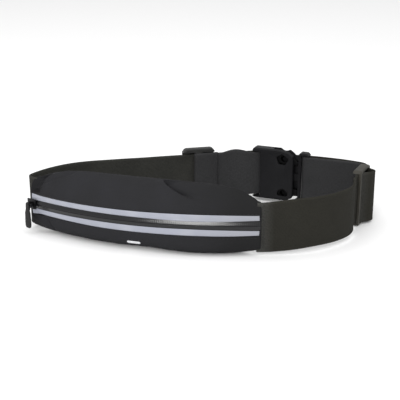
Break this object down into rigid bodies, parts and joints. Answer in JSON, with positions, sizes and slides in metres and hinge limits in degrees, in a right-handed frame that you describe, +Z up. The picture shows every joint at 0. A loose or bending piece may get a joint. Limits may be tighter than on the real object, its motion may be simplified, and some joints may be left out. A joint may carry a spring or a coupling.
{
  "type": "waist pack",
  "caption": "Slim zipped running belt: a curved stretch pouch with reflective strips on webbing with tri-glide adjusters and a side-release buckle.",
  "frame": {"origin": "under the middle of the belt's box, on the surface that it stands on", "axes": "+Z up, +X along the belt's length towards the plain front strap, the pouch faces -Y"},
  "size_m": [0.2808, 0.1448, 0.0532],
  "materials": {
    "panel_fabric": "matte stretch knit",
    "zipper_film": "glossy laminated tape",
    "zipper_teeth": "moulded coil",
    "reflective": "silver retroreflective tape",
    "slider_metal": "black enamel",
    "pull_rubber": "matte moulded",
    "webbing": "ribbed elastic webbing",
    "webbing_return": "ribbed elastic webbing",
    "buckle_plastic": "satin moulded",
    "glide_plastic": "satin moulded"
  },
  "bodies": {
    "root": {"pouch_upper_panel": "panel_fabric", "pouch_lower_panel": "panel_fabric", "pouch_back_panel": "panel_fabric", "zipper_tape_upper": "zipper_film", "zipper_tape_lower": "zipper_film", "zipper_coil_upper": "zipper_teeth", "zipper_coil_lower": "zipper_teeth", "zipper_end_stops": "zipper_teeth", "reflective_strip_upper": "reflective", "reflective_strip_lower": "reflective", "pouch_tag": "reflective", "right_front_strap": "webbing", "left_strap": "webbing", "left_return_strap": "webbing_return", "female_buckle": "buckle_plastic"},
    "zipper_slider": {"zipper_slider": "slider_metal", "slider_bridge": "slider_metal"},
    "zipper_pull": {"pull_link": "slider_metal", "pull_tab": "pull_rubber"},
    "male_half": {"male_buckle": "buckle_plastic", "right_back_strap": "webbing", "right_return_strap": "webbing_return"},
    "prong_upper": {"prong_upper": "buckle_plastic"},
    "prong_lower": {"prong_lower": "buckle_plastic"},
    "left_adjuster": {"left_triglide": "glide_plastic", "left_loop_end": "webbing_return"},
    "right_adjuster": {"right_triglide": "glide_plastic", "right_loop_end": "webbing_return"}
  },
  "joints": [
    {"name": "zipper_travel", "type": "hinge", "parent": "root", "child": "zipper_slider", "pos_m": [0.02192, 0.18082, 0.0245], "axis": [0, 0, 1], "range_deg": [0, 38]},
    {"name": "pull_swing", "type": "hinge", "parent": "zipper_slider", "child": "zipper_pull", "pos_m": [-0.13752, -0.02252, 0.0245], "axis": [-0.7869, 0.617, 0], "range_deg": [0, 150]},
    {"name": "buckle_release", "type": "slide", "parent": "root", "child": "male_half", "axis": [0.9205, -0.3907, 0], "range_m": [0, 0.03]},
    {"name": "prong_upper_squeeze", "type": "hinge", "parent": "male_half", "child": "prong_upper", "pos_m": [0.08341, 0.05271, 0.0375], "axis": [-0.3907, -0.9205, 0], "range_deg": [0, 8], "stiffness_Nm_per_rad": 0.05},
    {"name": "prong_lower_squeeze", "type": "hinge", "parent": "male_half", "child": "prong_lower", "pos_m": [0.08341, 0.05271, 0.0115], "axis": [0.3907, 0.9205, 0], "range_deg": [0, 8], "stiffness_Nm_per_rad": 0.05},
    {"name": "left_adjuster_slide", "type": "slide", "parent": "root", "child": "left_adjuster", "axis": [-0.9728, -0.2317, 0], "range_m": [-0.006, 0.03]},
    {"name": "right_adjuster_slide", "type": "slide", "parent": "male_half", "child": "right_adjuster", "axis": [-0.4195, -0.9078, 0], "range_m": [-0.001, 0.0055]}
  ]
}
